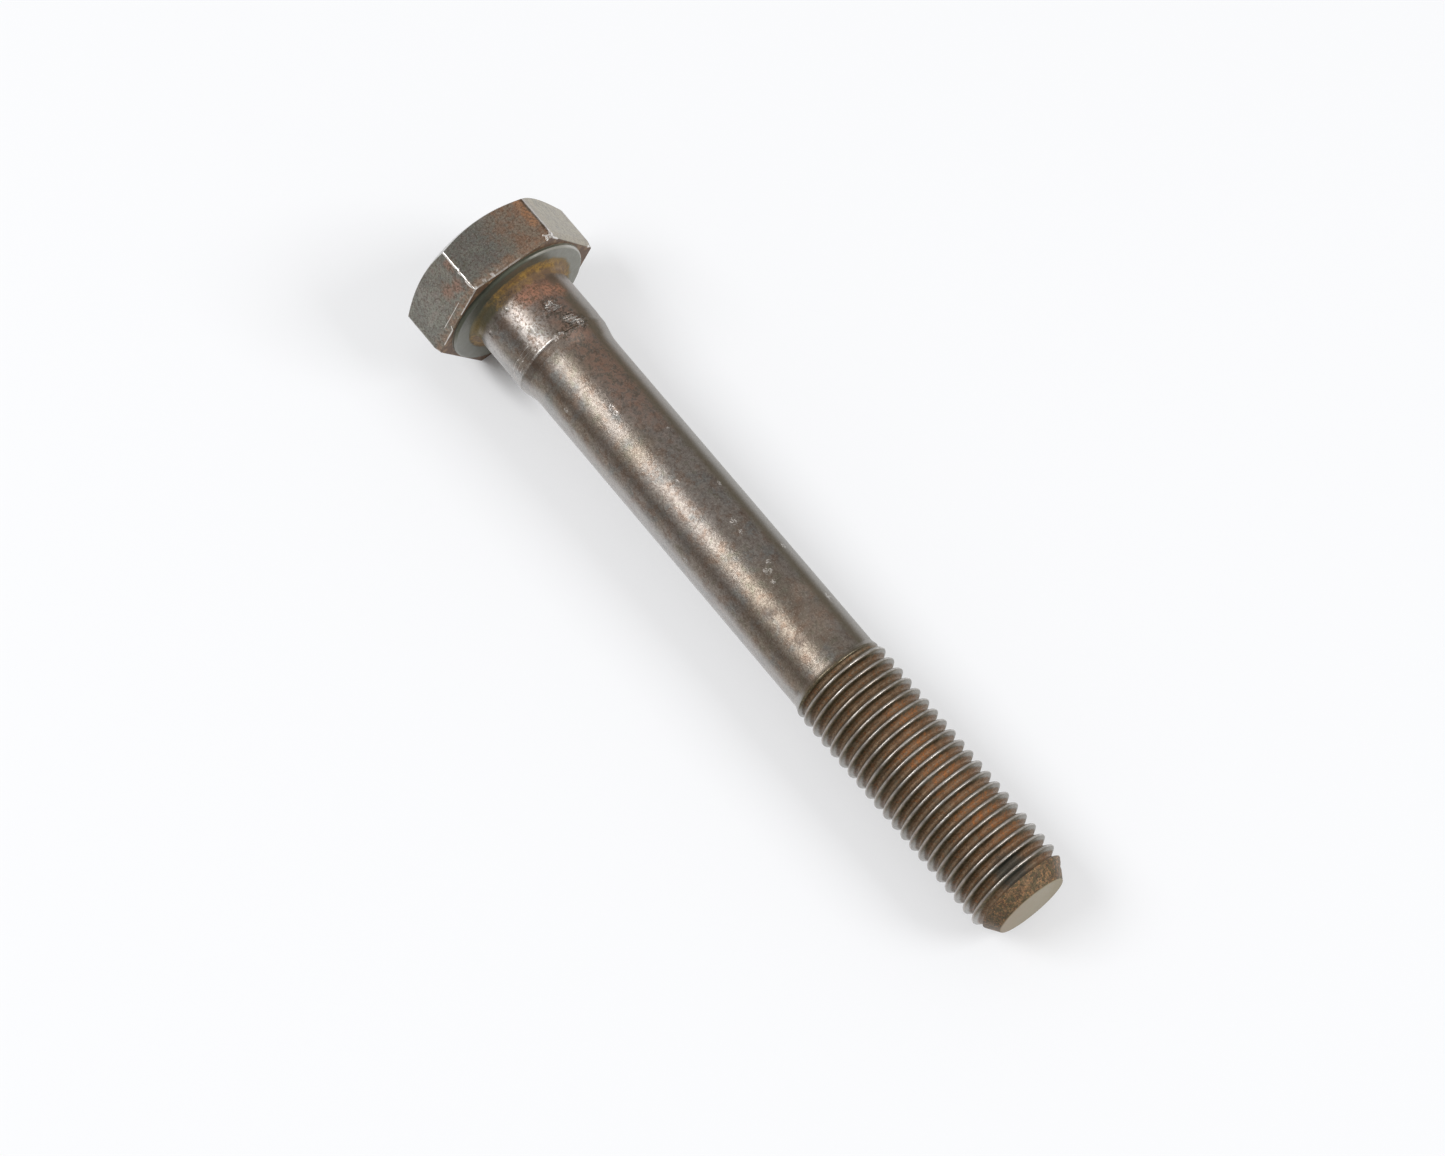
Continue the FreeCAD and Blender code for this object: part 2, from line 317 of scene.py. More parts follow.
# The rings of the blank, from the middle of the head's top to the middle of the tip. A ring has its
# place along the bolt, its lean (how far it moves on in one turn), its reach from the axis, its
# shares of the hexagon and of the crown's chamfer, how far the skirt cuts in, and how much its
# columns gather at the corners.
def blankRows(s):
    rows = []

    def ring(along, reach, hexFit=0.0, crownShift=0.0, cut=0.0, headness=0.0, lean=0.0):
        rows.append((along, lean, reach, hexFit, crownShift, cut, headness))

    top = -s["headHeight"]
    crown = s["crownRadius"]
    foot = -s["washerHeight"] - s["skirtHeight"]
    skirtSlope = math.tan(math.radians(s["skirtAngle"]))
    for radius in (0.0, 1.2, 2.4, 3.6, 4.8, 6.0, 7.0, 7.8, 8.4, 8.8, crown - 0.08):
        ring(top, radius, headness=radius / crown)
    for share in (0.02, 0.2, 0.4, 0.6, 0.8, 0.93, 0.985):
        ring(top, crown, hexFit=share, crownShift=share, headness=1.0)
    for share in np.concatenate([[0.004, 0.015], np.linspace(0.04, 0.96, 30), [0.985, 0.997]]):
        ring(top + (foot - top) * share, crown, hexFit=1.0, crownShift=1 - share, headness=1.0)
    for drop in (0.02, 0.06, 0.2, 0.4, 0.6, 0.75, 0.85, 0.89):
        ring(foot + drop, crown, hexFit=1.0, cut=drop * skirtSlope, headness=1.0)
    level = -s["washerHeight"]
    cut = s["skirtHeight"] * skirtSlope
    for share in (0.985, 0.93, 0.75, 0.5, 0.25, 0.06, 0.0):
        ring(level, s["washerRadius"], hexFit=share, cut=cut, headness=0.35 + 0.65 * share)
    for along, inside in s["washerRings"]:
        ring(along, s["washerRadius"] - inside, headness=0.3)
    fillet = s["neckFillet"]
    for angle in (0, 12, 24, 36, 48, 60, 72, 84, 90):
        turn = math.radians(angle)
        ring(fillet * (1 - math.cos(turn)), s["neckRadius"] + fillet * (1 - math.sin(turn)),
             headness=0.25 * (1 - angle / 90))
    shankFrom, shankStep = s["shankRows"]
    spans = s["rowSpans"] + [(shankFrom, s["gridStart"] - 0.2, shankStep)]
    for along in np.concatenate([np.arange(*span) for span in spans] + [[s["gridStart"]]]):
        ring(float(along), float(blankRadius(along, s)))
    # rows that lean, in a wedge up to a full pitch a turn, then along the thread, then back
    phases = [p / s["pitch"] for p in s["rowsInPitch"]]
    pitch = s["pitch"]
    firstRow = len(rows) - 1
    for phase in phases[1:]:
        ring(s["gridStart"], 0.0, lean=phase * pitch)
    for turn in range(s["gridTurns"] - 1):
        for phase in phases:
            ring(s["gridStart"] + (turn + phase) * pitch, 0.0, lean=pitch)
    endWedge = len(rows)
    for phase in phases:
        ring(s["gridStart"] + (s["gridTurns"] - 1 + phase) * pitch, 0.0, lean=(1 - phase) * pitch)
    lastRow = len(rows)
    gridEnd = s["gridStart"] + s["gridTurns"] * pitch
    for along in np.linspace(gridEnd, s["length"] - 0.04, 9):
        ring(float(along), float(blankRadius(along, s)))
    end = s["tipRadius"]
    for radius in (end - 0.03, end - 0.12, 3.8, 3.2, 2.4, 1.6, 0.8, 0.0):
        ring(s["length"], radius)
    return np.array(rows), firstRow, endWedge, lastRow


# In the thread each row leans by one pitch a turn, so that crests and roots stay on their rows. The
# last corner of such a row is the first corner of the row that lies a pitch further on.
def blankMesh(s):
    rows, firstRow, endWedge, lastRow = blankRows(s)
    columns = s["columns"]
    perPitch = len(s["rowsInPitch"])
    sides = 6
    share = np.arange(columns) / columns
    sector = share * sides
    inSector = sector - np.floor(sector)
    crowded = (np.floor(sector) + inSector
               - s["cornerCrowding"] / (2 * math.pi) * np.sin(2 * math.pi * inSector)) / sides
    ids = np.arange(len(rows) * columns).reshape(len(rows), columns)
    ids = np.hstack([ids, ids[:, :1]])
    ids[firstRow + 1:firstRow + perPitch + 1, 0] = ids[firstRow, 0]
    for row in range(firstRow + 1, endWedge):
        ids[row, columns] = ids[row + perPitch, 0]
    ids[endWedge:lastRow, columns] = ids[lastRow, 0]
    ids[0, :] = ids[0, 0]
    ids[-1, :] = ids[-1, 0]
    start, lean, reach, hexFit, crownShift, cut, headness = np.split(rows, rows.shape[1], axis=1)
    turn = headness * crowded + (1 - headness) * share
    along = start + lean * turn
    reach = np.repeat(reach, columns, axis=1)
    grid = slice(firstRow + 1, lastRow)
    reach[grid] = blankRadius(along[grid], s)
    used, new = np.unique(ids, return_inverse=True)
    new = new.reshape(ids.shape)
    corners = np.stack([new[:-1, :-1], new[:-1, 1:], new[1:, 1:], new[1:, :-1]], axis=-1)
    faces = []
    for face in corners.reshape(-1, 4).tolist():
        kept = list(dict.fromkeys(face))
        if len(kept) > 2:
            faces.append(kept)
    angle = (turn * 2 * math.pi).ravel()[used]
    reach = reach.ravel()[used]
    along = along.ravel()[used]
    mesh = bpy.data.meshes.new("boltBlank")
    places = np.stack([along, reach * np.cos(angle), reach * np.sin(angle)], axis=1) * millimetre
    mesh.from_pydata(places.tolist(), [], faces)
    values = {"along": along, "turn": angle, "reach": reach}
    for name, numbers in (("hexFit", hexFit), ("crownShift", crownShift), ("apothemCut", cut)):
        values[name] = np.repeat(numbers, columns, axis=1).ravel()[used]
    for name, numbers in values.items():
        data = mesh.attributes.new(name, "FLOAT", "POINT").data
        data.foreach_set("value", numbers.astype(np.float32))
    return mesh


def forgeTree(steel):
    tree = bpy.data.node_groups.new("forgeAndRoll", "GeometryNodeTree")
    graph = Graph(tree)
    tree.interface.new_socket(name="Geometry", in_out="INPUT", socket_type="NodeSocketGeometry")
    tree.interface.new_socket(name="Geometry", in_out="OUTPUT", socket_type="NodeSocketGeometry")
    names = ["acrossFlats", "cornerRound", "crownRadius", "crownAngle", "grooveStart", "pitch",
             "rootRadius", "rootHalf", "flankAngle", "crestRound", "rootRound", "fullThreadFrom",
             "runoutClimb", "crestRadius"]
    for name in names:
        tree.interface.new_socket(name=name, in_out="INPUT", socket_type="NodeSocketFloat")
    inlet = tree.nodes.new("NodeGroupInput")
    size = {name: Wire(graph, inlet.outputs[name]) for name in names}
    maths = size["pitch"].maths

    def attribute(name):
        return graph.add("GeometryNodeInputNamedAttribute", {"data_type": "FLOAT"}, {"Name": name})

    along = attribute("along")
    turn = attribute("turn")
    reach = attribute("reach")
    # hexagon with rounded corners, worn unevenly along them
    wornAt = 10.0                             # mm from the axis, about where the corners are
    leastRound, roundSpread = 0.25, 1.5       # shares of the corners' rounding
    spot = graph.add("ShaderNodeCombineXYZ", {},
                     [along, maths("COSINE", turn) * wornAt, maths("SINE", turn) * wornAt])
    worn = graph.noise(spot, 0.9, 4.0, 0.7, 3.0)
    corner = size["cornerRound"] * (leastRound + worn * roundSpread)
    apothem = size["acrossFlats"] / 2 - attribute("apothemCut")
    sixth = math.pi / 3
    gap = sixth / 2 - maths("ABSOLUTE", maths("FLOORED_MODULO", turn, sixth) - sixth / 2)
    flat = apothem / maths("COSINE", sixth / 2 - gap)
    centre = (apothem - corner) / math.cos(sixth / 2)
    offset = centre * maths("SINE", gap)
    rounded = centre * maths("COSINE", gap)
    rounded = rounded + maths("SQRT", maths("MAXIMUM", corner * corner - offset * offset, 0.0))
    roundTo = maths("ARCTAN2", corner * math.sin(sixth / 2), centre + corner * math.cos(sixth / 2))
    onCorner = maths("LESS_THAN", gap, roundTo)
    hexagon = flat + onCorner * (rounded - flat)
    hexFit = attribute("hexFit")
    slope = maths("TANGENT", maths("RADIANS", size["crownAngle"]))
    place = along + attribute("crownShift") * (hexagon - size["crownRadius"]) * slope
    radius = reach + hexFit * (hexagon - reach)
    # helical groove
    phase = (along - size["grooveStart"]) / size["pitch"] - turn / (2 * math.pi)
    fromGroove = maths("ABSOLUTE", phase - maths("FLOOR", phase + 0.5)) * size["pitch"]
    fromRoot = fromGroove - size["rootHalf"]
    steepness = maths("TANGENT", maths("RADIANS", size["flankAngle"] / 2))
    flank = size["rootRadius"] + fromRoot / steepness
    groove = maths("SMOOTH_MAX", size["rootRadius"], flank, size["rootRound"])
    climb = maths("MAXIMUM", size["fullThreadFrom"] - along, 0.0) * size["runoutClimb"]
    radius = maths("SMOOTH_MIN", radius, groove + climb, size["crestRound"])
    spun = graph.add("ShaderNodeCombineXYZ", {},
                     [place * millimetre, radius * maths("COSINE", turn) * millimetre,
                      radius * maths("SINE", turn) * millimetre])
    blank = Wire(graph, inlet.outputs["Geometry"])
    shaped = graph.add("GeometryNodeSetPosition", {}, {"Geometry": blank, "Position": spun})
    # measures that the material reads, all in millimetres
    runout = 1.2     # mm before the full thread that count as thread
    farAway = 9.0    # mm added to the distance from a corner where there is no hexagon
    threaded = maths("GREATER_THAN", along, size["fullThreadFrom"] - runout)
    measures = {
        "grooveDepth": (size["crestRadius"] - radius) * threaded,
        "rimGap": hexagon - radius,
        "cornerGap": gap * apothem / math.cos(sixth / 2) + (1 - hexFit) * farAway,
    }
    for name, value in measures.items():
        shaped = graph.add("GeometryNodeStoreNamedAttribute",
                           {"data_type": "FLOAT", "domain": "POINT"},
                           {"Geometry": shaped, "Name": name, "Value": value})
    shaped = graph.add("GeometryNodeSetShadeSmooth", {}, {"Geometry": shaped, "Shade Smooth": True})
    shaped = graph.add("GeometryNodeRealizeInstances", {}, {"Geometry": shaped})
    shaped = graph.add("GeometryNodeSetMaterial", {}, {"Geometry": shaped, "Material": steel})
    graph.add("NodeGroupOutput", {}, [shaped])
    return tree, names


dents = [
    # along, turn in degrees, length, width, depth and height of the rim, in millimetres
    (4.9, 78, 1.5, 2.2, 0.12, 0.04),
    (5.4, 84, 0.6, 1.2, 0.10, 0.04),
    (7.5, 74, 0.7, 1.6, 0.08, 0.03),
    (8.2, 66, 0.6, 1.0, 0.07, 0.03),
    (1.9, 118, 0.5, 0.7, 0.08, 0.03),
    (2.1, 154, 0.7, 0.7, 0.07, 0.03),
    (14.8, 147.5, 1.0, 0.8, 0.09, 0.02),
    (18.9, 102.5, 1.2, 0.8, 0.09, 0.03),
    (32.7, 58, 0.8, 0.6, 0.06, 0.02),
    (37.7, 79, 1.2, 1.0, 0.07, 0.03),
    (36.7, 158, 0.7, 0.9, 0.06, 0.02),
    (44.2, 86, 1.0, 0.8, 0.06, 0.02),
    (18.9, 124, 0.7, 0.6, 0.05, 0.02),
    (50.0, 40, 1.2, 0.8, 0.06, 0.02),
    (16.9, 164, 0.9, 0.9, 0.06, 0.02),
]

# the end of the collar, in millimetres and degrees
collarEnd = {
    "leftFrom": 95,
    "leftTo": 200,
    "leftSoft": 15,
    "burrPlace": 8.2,                # a ragged burr on the left
    "burrWidth": 0.08,
    "burrHeight": 0.014,
    "burrTeeth": 23,                 # waves round the whole bolt
    "burrWander": (3, 7),            # how far their spacing swings, and how often
    "dropPlace": 8.24,               # and a crisp drop behind it
    "dropSoft": 0.1,
    "dropDepth": 0.10,
    "dropEnd": 10.2,
    "dropFade": 1.6,
    "rightMiddle": 10,               # a long soft shoulder on the right
    "rightHalf": 80,
    "rightSoft": 40,
    "shoulderPlaces": [6.6, 7.6, 8.6, 9.6, 10.6, 11.6],
    "shoulderPush": [0, -0.055, -0.05, 0.02, 0.03, 0],
}


def layDown(s):
    dipTop = s["acrossFlats"] / 2 - s["crestRadius"]
    tipSlope = math.tan(math.radians(s["tipAngle"]))
    lastCrest = s["length"] - (s["crestRadius"] - s["tipRadius"]) / tipSlope
    headFoot = -s["washerHeight"] - s["skirtHeight"]
    dip = math.atan(dipTop / (lastCrest - headFoot))
    topEnd = -s["crownRadius"] * math.sin(dip)
    tipEnd = (s["headHeight"] + s["length"]) * math.cos(dip) + s["tipRadius"] * math.sin(dip)
    height = s["acrossFlats"] / 2 * math.cos(dip) + (s["headHeight"] + headFoot) * math.sin(dip)
    place = Vector((-(topEnd + tipEnd) / 2, 0, height))
    return (Matrix.Translation(place * millimetre) @ Matrix.Rotation(dip, 4, "Y")
            @ Matrix.Translation((s["headHeight"] * millimetre, 0, 0)))


# Pushes the skin in or out at the dents and at the end of the collar.
def mark(mesh, marks, end):
    count = len(mesh.vertices)
    places = np.empty(count * 3, np.float32)
    mesh.vertices.foreach_get("co", places)
    places = places.reshape(-1, 3) / millimetre
    radius = np.maximum(np.hypot(places[:, 1], places[:, 2]), 1e-6)
    turn = np.degrees(np.arctan2(places[:, 2], places[:, 1]))
    push = np.zeros(count)
    rimPlace, rimWidth = 1.15, 0.3    # in half widths of a dent
    for along, angle, length, width, depth, rim in marks:
        sideways = np.radians((turn - angle + 180) % 360 - 180) * radius
        far = np.hypot((places[:, 0] - along) / (length / 2), sideways / (width / 2))
        push -= depth * np.clip(1 - far ** 2, 0, 1) ** 1.5
        push += rim * np.exp(-((far - rimPlace) / rimWidth) ** 2)
    turn = turn % 360
    along = places[:, 0]
    left = np.clip((turn - end["leftFrom"]) / end["leftSoft"], 0, 1)
    left = left * np.clip((end["leftTo"] - turn) / end["leftSoft"], 0, 1)
    around = np.radians(turn)
    swing, swings = end["burrWander"]
    ragged = 0.8 + 0.6 * np.sin(around * end["burrTeeth"] + swing * np.sin(around * swings))
    burr = np.exp(-((along - end["burrPlace"]) / end["burrWidth"]) ** 2)
    push += left * ragged * end["burrHeight"] * burr
    drop = np.clip((along - end["dropPlace"]) / end["dropSoft"], 0, 1)
    fade = np.clip((end["dropEnd"] - along) / end["dropFade"], 0, 1)
    push -= left * end["dropDepth"] * drop * fade
    fromRight = np.abs((turn - end["rightMiddle"] + 180) % 360 - 180)
    right = np.clip((end["rightHalf"] - fromRight) / end["rightSoft"], 0, 1)
    push += right * np.interp(along, end["shoulderPlaces"], end["shoulderPush"])
    places[:, 1] *= 1 + push / radius
    places[:, 2] *= 1 + push / radius
    mesh.vertices.foreach_set("co", (places * millimetre).astype(np.float32).ravel())


finish = {
    "patina": colour(130, 119, 106),
    "patinaGrey": colour(138, 130, 122),
    "patinaBlue": colour(110, 114, 112),
    "patinaRed": colour(119, 95, 77),
    "patinaGreen": colour(110, 108, 92),
    "shankRed": colour(152, 116, 98),
    "shadeOlive": colour(84, 75, 57),
    "patinaDark": colour(78, 62, 51),
    "speckle": colour(196, 184, 173),
    "headGrey": colour(128, 128, 118),
    "headBrown": colour(151, 133, 114),
    "faceGrey": colour(110, 109, 91),
    "faceShade": colour(74, 76, 64),
    "salmonRust": colour(168, 116, 90),
    "orangeRust": colour(148, 98, 56),
    "brownRust": colour(98, 72, 50),
    "ochre": colour(154, 120, 58),
    "olive": colour(78, 73, 48),
    "bareAndHighlight": colour(222, 216, 209),
    "scuffAndHighlightGrey": colour(188, 181, 175),
    "flankDark": colour(60, 52, 40),
    "flankBrown": colour(96, 87, 70),
    "headRust": colour(148, 112, 88),
    "slateLight": colour(158, 160, 152),
    "headSlate": colour(98, 100, 96),
    "rootBrown": colour(150, 116, 86),
    "rootTan": colour(150, 124, 92),
    "threadRust": colour(174, 114, 64),
    "threadSlate": colour(58, 64, 60),
    "flatTan": colour(160, 149, 119),
    "oliveTan": colour(122, 104, 58),
    "tipOrange": colour(170, 124, 80),
    "tipBrown": colour(134, 106, 76),
    "endTan": colour(148, 138, 113),
    "metal": 0.9,
    "roughness": 0.37,
    "filmIOR": 2.9,                  # thin film of oil and oxide, strongest at a low angle
    "filmRoughness": 0.26,
    "bumpStrength": 0.55,
    "bumpDepth": 0.07,               # mm
    "shankSkin": 5.48,               # mm from the axis, for nicks in the shank
    "shankFrom": 9,                  # mm along the bolt, where those begin
    "ringRadius": 7.3,               # mm, the outer edge of the rust ring on the bearing face
}

# bright nicks: along, turn in degrees, size, in millimetres
nicks = [
    (1.8, 118.3, 0.5), (2.1, 154.2, 0.5), (4.6, 80, 0.8), (5.2, 76, 0.9), (5.0, 84, 0.6),
    (7.1, 76, 0.5), (7.6, 71, 0.7), (8.2, 66, 0.6), (8.25, 92, 0.45), (8.3, 99, 0.5),
    (14.8, 147.6, 0.5), (18.5, 102.8, 0.6), (19.3, 102.0, 0.5), (37.4, 79.5, 0.8),
    (38.9, 81.5, 0.5), (43.5, 79.3, 0.5), (44.3, 86, 0.7), (45.6, 89.8, 0.5), (50.0, 40.2, 0.6),
    (36.7, 157.9, 0.45), (32.7, 58.2, 0.45), (29.9, 98.4, 0.3), (24.1, 64.3, 0.3), (42.5, 43, 0.5),
]

# bright strokes: along and turn in degrees of both ends, half width, in millimetres
strokes = [
    (-0.50, 173.6, -0.50, 168.0, 0.07), (-0.50, 168.0, -0.50, 160.5, 0.10),
    (-0.50, 159.6, -0.85, 157.6, 0.07), (-0.50, 143.0, -0.50, 119.5, 0.09),
    (-1.46, 162.5, -1.44, 137.0, 0.04), (-1.55, 59.0, -0.60, 61.0, 0.13),
    (-0.50, 58.5, -0.50, 52.5, 0.14), (-1.05, 57.0, -0.62, 60.5, 0.14),
    (-0.95, 62.5, -0.50, 63.0, 0.15), (-1.20, 64.0, -0.75, 60.0, 0.08),
    (-0.50, 4.5, -0.70, 2.0, 0.12), (6.75, 128.0, 6.75, 150.0, 0.05),
    (7.35, 118.0, 7.35, 146.0, 0.05), (7.75, 124.0, 7.7, 160.0, 0.05),
    (5.0, 74.0, 4.5, 84.0, 0.07), (5.5, 72.0, 5.3, 82.0, 0.06), (7.4, 64.0, 7.2, 76.0, 0.06),
    (7.9, 62.0, 7.6, 70.0, 0.07), (7.0, 66.0, 6.8, 75.0, 0.05), (8.15, 60.0, 7.95, 67.0, 0.05),
]

# places where the skin is mashed: along, turn in degrees, distance from the axis, reach
mashes = [(4.9, 79, 6.0, 1.9), (7.5, 73, 6.0, 1.6), (8.0, 65, 6.0, 1.6), (8.3, 88, 6.0, 1.0)]

# dark gouges in the collar: along and turn in degrees of both ends, half width
gouges = [
    (4.2, 86, 5.5, 84, 0.09), (4.3, 79, 5.6, 74, 0.10), (5.7, 82, 5.3, 72, 0.09),
    (4.8, 88, 4.4, 76, 0.07), (7.0, 80, 7.2, 68, 0.09), (7.7, 78, 7.9, 64, 0.10),
    (8.1, 70, 8.4, 60, 0.09), (6.6, 74, 6.7, 66, 0.07), (1.6, 121, 2.1, 121, 0.10),
    (1.9, 157, 2.5, 156, 0.09), (8.32, 88, 8.38, 72, 0.08),
]

# rust blooms: along, turn in degrees, distance from the axis, reach
blooms = [
    (2.3, 97, 6.1, 2.0), (2.2, 84, 6.0, 2.4), (2.9, 70, 6.0, 2.2), (3.4, 58, 6.0, 1.6),
    (-3.3, 137.9, 9.6, 1.7), (-2.7, 129.0, 10.1, 1.5), (-4.8, 123.0, 10.6, 1.2),
    (15.5, 131, 5.5, 0.9), (47.9, 117, 5.5, 1.3), (52.6, 110, 5.5, 1.2), (52.0, 78, 5.5, 3.4),
    (48.5, 70, 5.5, 2.4), (73.8, 81, 5.4, 3.6), (79.6, 74, 5.4, 4.2), (82.4, 68, 5.4, 3.0),
    (70.0, 88, 5.4, 3.2), (66.0, 70, 5.4, 2.6),
]

# a slate patch in the thread by the tip, and one on the head: along, turn, distance from the axis
threadSlatePlace = (86.7, 96, 5.4)
headSlatePlace = (-4.6, 105, 9.8)

# how the bare line of the left corner wanders: along, sideways, in millimetres
cornerLine = [(-7.3, 0.05), (-3.99, 0.08), (-3.62, -0.14), (-3.36, 0.16), (-2.69, 0.02),
              (-2.26, -0.04), (-2.02, 0.16), (-1.2, 0.13), (-0.8, 0.02), (-0.4, -0.2)]


def boltSteel(s, f):
    material = bpy.data.materials.new("wornForgedSteel")
    material.use_nodes = True
    graph = Graph(material.node_tree)
    shader = material.node_tree.nodes["Principled BSDF"]
    step, between, blend, noise = graph.step, graph.between, graph.blend, graph.noise

    # the bolt's own axes in millimetres: along it, to its side and up from it
    place, turn = layDown(s).inverted().decompose()[:2]
    spot = graph.add("ShaderNodeTexCoord", {}, (), "Object")
    spot = graph.add("ShaderNodeMapping", {"vector_type": "POINT"},
                     {"Vector": spot, "Location": place / millimetre,
                      "Rotation": turn.to_euler(), "Scale": (1 / millimetre,) * 3})
    along, side, rise = (graph.add("ShaderNodeSeparateXYZ", {}, [spot], axis) for axis in "XYZ")
    maths = along.maths
    radius = maths("SQRT", side * side + rise * rise)
    around = maths("ARCTAN2", rise, side)    # in radians, 0 on the right and pi on the left
    measures = (graph.add("ShaderNodeAttribute", {"attribute_name": name}, (), "Fac")
                for name in ("grooveDepth", "cornerGap", "rimGap"))
    depth, cornerGap, rimGap = measures
    slant = math.cos(math.radians(30))       # a side flat faces this far sideways, and half upwards
    tipSlope = math.tan(math.radians(s["tipAngle"]))

    def chain(operation, values):
        total = None
        for value in values:
            total = value if total is None else maths(operation, total, value)
        return total

    def spotAt(reach, angle, away):  # along the bolt, at a turn in degrees, away from its axis
        angle = math.radians(angle)
        return Vector((reach, away * math.cos(angle), away * math.sin(angle)))

    def onSkin(reach, angle):
        return spotAt(reach, angle, hexRadius(s, reach, angle))

    def stretched(scale, size, detail=2.0):  # noise that is drawn out along or round the bolt
        drawn = graph.add("ShaderNodeVectorMath", {"operation": "MULTIPLY"}, [spot, scale])
        return noise(drawn, size, detail)

    broad = noise(spot, 0.12, 3.0, 0.5, 1.0)
    patch = noise(spot, 0.45, 4.0, 0.6, 2.0)
    tint = noise(spot, 0.9, 3.0, 0.6, 3.0)
    mottle = noise(spot, 1.3, 4.0, 0.65, 4.0)
    grain = noise(spot, 3.4, 4.0, 0.75, 5.0)
    speck = noise(spot, 6.5, 2.0, 0.6, 8.0)
    coarse = noise(spot, 2.0, 3.0, 0.7, 12.0)
    uneven = (patch - 0.5) * 0.9 + (mottle - 0.5) * 1.3 + (grain - 0.5) * 1.2

    def distance(point):
        return graph.add("ShaderNodeVectorMath", {"operation": "DISTANCE"}, [spot, point], "Value")

    def marksAt(marks, start, end):  # 1 inside any of the marks, with broken edges
        nearest = 1 - chain("MINIMUM", (distance(spotAt(reach, angle, away)) / size
                                        for reach, angle, away, size in marks))
        return step(nearest + uneven * step(nearest, -0.3, 0.2), start, end)

    def fromStroke(first, last, half):  # how many half widths away a straight scratch is
        run = last - first
        way = graph.add("ShaderNodeVectorMath", {"operation": "SUBTRACT"}, [spot, first])
        share = graph.clip(graph.add("ShaderNodeVectorMath", {"operation": "DOT_PRODUCT"},
                                     [way, run / run.length_squared], "Value"))
        share = graph.add("ShaderNodeCombineXYZ", {}, [share, share, share])
        nearest = graph.add("ShaderNodeVectorMath", {"operation": "MULTIPLY_ADD"},
                            [share, run, first])
        return distance(nearest) / half

    def strokesAt(lines):  # 1 on scratches, each with its two ends and its half width
        nearest = chain("MINIMUM", (fromStroke(*line) for line in lines))
        return step(nearest + (grain - 0.5) * 1.5, 1.3, 0.6)

    # zones
    onHead = step(along, -0.44, -0.52)
    onHex = onHead * step(rimGap, 0.12, 0.05)
    washer, neck, end = s["washerRadius"], s["neckRadius"], s["length"]
    underside = between(along, -0.62, -0.3, 0.05) * step(rimGap, 0.0, 0.03)
    underside = underside * step(radius, washer, washer + 0.04)
    onFace = step(along, -0.56, -0.5) * step(along, 0.95, 0.7)
    onFace = onFace * step(radius, neck + 0.08, neck + 0.3) * (1 - underside)
    onNeck = between(along, 0.5, s["neckLength"], 0.15) * step(radius, neck + 0.4, neck + 0.1)
    onThread = step(along, s["riseFrom"] + 0.2, s["riseFrom"] + 1.2)
    chamferGap = maths("ABSOLUTE", radius - (end - along) * tipSlope - s["tipRadius"])
    onChamfer = step(along, end - 2.7, end - 2.4) * step(chamferGap, 0.1, 0.03)
    onEnd = step(along, end - 0.1, end - 0.03)

    # patina of the shank, with painted shade on its right side and in a strip on its left
    steel = blend(step(broad, 0.42, 0.6), f["patina"], f["patinaGrey"])
    steel = blend(step(patch, 0.48, 0.68) * 0.6, steel, f["patinaBlue"])
    steel = blend(step(tint, 0.5, 0.64) * 0.5, steel, f["patinaRed"])
    steel = blend(step(tint, 0.45, 0.34) * 0.5, steel, f["patinaGreen"])
    steel = blend(step(mottle, 0.42, 0.66) * 0.32, steel, f["patinaDark"])
    steel = blend(step(grain, 0.43, 0.62) * 0.45, steel, f["patinaDark"])
    steel = blend(step(speck, 0.55, 0.66) * 0.25, steel, f["speckle"])
    # painted shade: the right side of the collar, shank and thread is darkened to olive, as if
    # turned from the light
    rightShade = step(side, 2.4, 3.3) * step(along, 0.0, 2.0)
    redEnd = step(along + mottle * 8, 32, 20) * step(side, -1.5, 1.0)
    steel = blend(redEnd * step(mottle + grain - 1.0, 0.12, -0.08) * 0.55, steel, f["shankRed"])
    # painted shade: a strip on the left of the shank, beside the bright band, is darkened
    steel = blend(between(side, -4.55, -3.8, 0.3) * 0.35, steel, f["patinaDark"])
    steel = blend(rightShade * 0.8, steel, f["shadeOlive"])

    # head
    brownSide = step(side + (mottle - 0.5) * 6 + (patch - 0.5) * 6, -1.5, 4.0)
    brownSide = brownSide * step(rise, 6.0, 8.5)
    brownFoot = step(along + (mottle - 0.5) * 3, -2.0, -0.6)
    headSteel = blend(step(mottle, 0.4, 0.65), f["headGrey"], f["patinaGrey"])
    slate = patch + (mottle - 0.5) * 0.6
    slate = slate + step(distance(spotAt(*headSlatePlace)), 5.0, 1.0) * 0.14
    headSteel = blend(step(slate, 0.46, 0.6) * 0.45, headSteel, f["headSlate"])
    headSteel = blend(step(tint, 0.46, 0.34) * 0.5, headSteel, f["patinaGreen"])
    headSteel = blend(graph.clip(brownSide + brownFoot * 0.9) * 0.75, headSteel, f["headBrown"])
    headSteel = blend(step(tint, 0.48, 0.6) * (0.1 + brownSide * 0.24), headSteel, f["patinaRed"])
    fine = (grain + speck) * 0.5
    headSteel = blend(brownSide * step(fine, 0.5, 0.58) * 0.4, headSteel, f["orangeRust"])
    rightFlat = step(side, 5.4, 5.9) * step(side * slant + rise * 0.5, 8.8, 9.2)
    headSteel = blend(step(side, -7.0, -9.5) * 0.22, headSteel, f["slateLight"])
    rusted = brownSide * step(tint + (coarse - 0.5) * 0.5, 0.47, 0.58)
    headSteel = blend(rusted * 0.6, headSteel, f["headRust"])
    headSteel = blend(brownFoot * step(mottle, 0.4, 0.55) * 0.4, headSteel, f["headRust"])
    rusted = rightFlat * step(side, 7.5, 10.0) * step(mottle, 0.42, 0.58)
    headSteel = blend(rusted * 0.45, headSteel, f["headRust"])
    headSteel = blend(rightFlat * 0.8, headSteel,
                      blend(step(mottle, 0.45, 0.6) * 0.5, f["flatTan"], f["patinaGreen"]))
